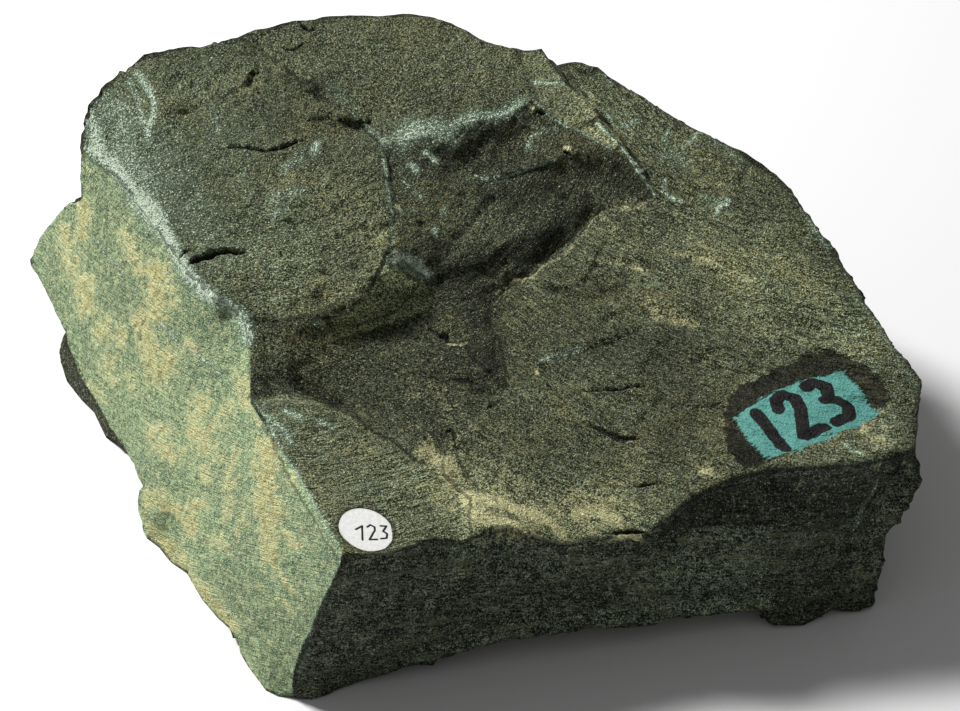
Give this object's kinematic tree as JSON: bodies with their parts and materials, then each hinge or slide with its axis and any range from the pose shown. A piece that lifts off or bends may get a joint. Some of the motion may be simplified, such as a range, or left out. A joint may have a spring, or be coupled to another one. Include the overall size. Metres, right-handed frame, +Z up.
{
  "type": "shale specimen",
  "caption": "Hand specimen of shale: a broken block with a stepped, hammered top, one pale flat joint face, and a round paper number dot glued near a front corner.",
  "frame": {"origin": "middle of the bounding box in plan, at the height of the bed that the block rests on", "axes": "+X along the longest extent, to the right along the front break; +Y away from the front break; +Z up, along the shortest extent"},
  "size_m": [0.1298, 0.1042, 0.0429],
  "materials": {
    "shale": "matt, finely gritty broken shale",
    "paper": "smooth matt white paper"
  },
  "bodies": {
    "root": {"shale_block": "shale", "number_dot": "paper"}
  },
  "joints": []
}
